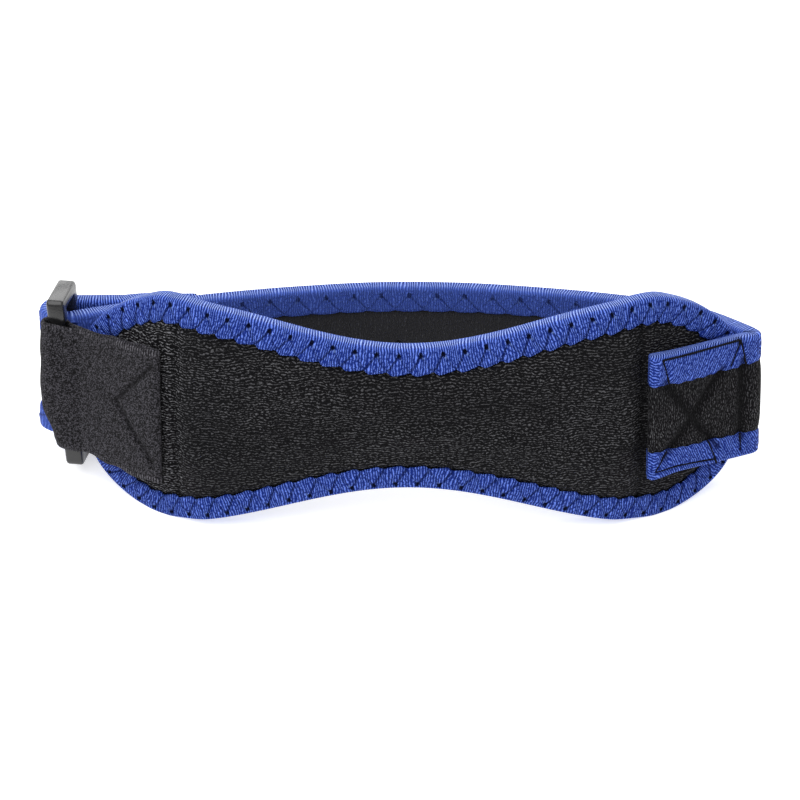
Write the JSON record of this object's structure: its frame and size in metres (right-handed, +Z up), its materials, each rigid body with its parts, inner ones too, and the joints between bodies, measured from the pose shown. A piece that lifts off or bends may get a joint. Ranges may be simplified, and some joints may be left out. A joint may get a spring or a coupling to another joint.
{
  "type": "patella strap",
  "caption": "Knee strap: padded hourglass front panel, neoprene strap and plastic ring buckle, closed in a loop.",
  "frame": {"origin": "middle of the loop's footprint, on the surface it rests on", "axes": "X runs from the ring buckle at -X to the strap's fold at +X; Y from the front pad at -Y to the back of the knee at +Y; Z up from the surface"},
  "size_m": [0.1944, 0.0604, 0.0609],
  "materials": {
    "black_knit": "matte fine knit",
    "black_neoprene": "matte knit over foam rubber",
    "blue_binding": "ribbed stretch binding with a slight sheen",
    "black_tape": "fuzzy loop tape",
    "grey_plastic": "satin moulded plastic"
  },
  "bodies": {
    "root": {"front_pad": "black_knit", "pad_binding": "blue_binding", "back_strap": "black_neoprene", "strap_binding_top": "blue_binding", "strap_binding_bottom": "blue_binding", "hook_patch": "black_tape", "buckle_ring": "grey_plastic", "ring_tab": "black_tape"}
  },
  "joints": []
}
